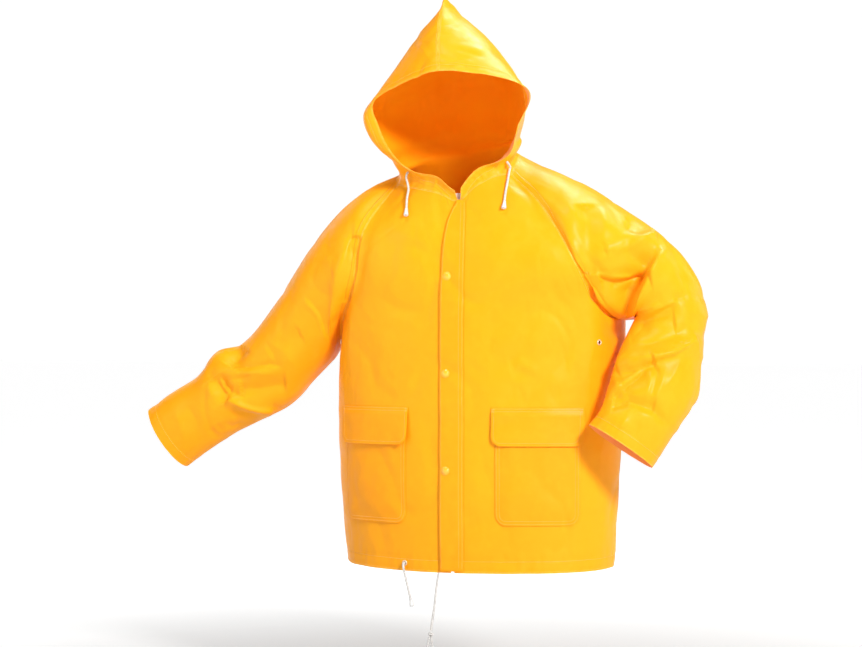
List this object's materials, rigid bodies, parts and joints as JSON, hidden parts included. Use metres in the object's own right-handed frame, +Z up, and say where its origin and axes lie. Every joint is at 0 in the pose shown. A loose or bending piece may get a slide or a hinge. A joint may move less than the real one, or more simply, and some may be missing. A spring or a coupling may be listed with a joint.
{
  "type": "hooded raincoat",
  "caption": "Hooded short raincoat with raglan sleeves, press-stud storm flap, flap pockets and drawcords, hollow and shaped as worn.",
  "frame": {"origin": "base of the neck on the jacket's middle plane, where a wearer's shoulders carry the jacket", "axes": "+Z up, -Y the way the front faces, +X towards the wearer's left"},
  "size_m": [1.0999, 0.3489, 1.1848],
  "materials": {
    "cloth": "satin",
    "zip_tape": "matte",
    "cord": "matte",
    "cord_tip": "satin",
    "stud": "gloss",
    "eyelet": "satin"
  },
  "bodies": {
    "root": {"back": "cloth", "front_left": "cloth", "front_right": "cloth", "sleeve_left": "cloth", "sleeve_right": "cloth", "hood_left": "cloth", "hood_right": "cloth", "storm_flap": "cloth", "pocket_bag_left": "cloth", "pocket_bag_right": "cloth", "pocket_flap_left": "cloth", "pocket_flap_right": "cloth", "zip": "zip_tape", "snap_1": "stud", "snap_2": "stud", "snap_3": "stud", "hem_eyelet": "eyelet", "vent_eyelet_left": "eyelet", "vent_eyelet_right": "eyelet", "hood_cord_left": "cord", "hood_cord_right": "cord", "hood_cord_tip_left": "cord_tip", "hood_cord_tip_right": "cord_tip", "hem_cord_left": "cord", "hem_cord_right": "cord", "hem_cord_knot": "cord", "hem_cord_tail_a": "cord", "hem_cord_tail_b": "cord", "hem_cord_tip_right": "cord_tip"}
  },
  "joints": []
}
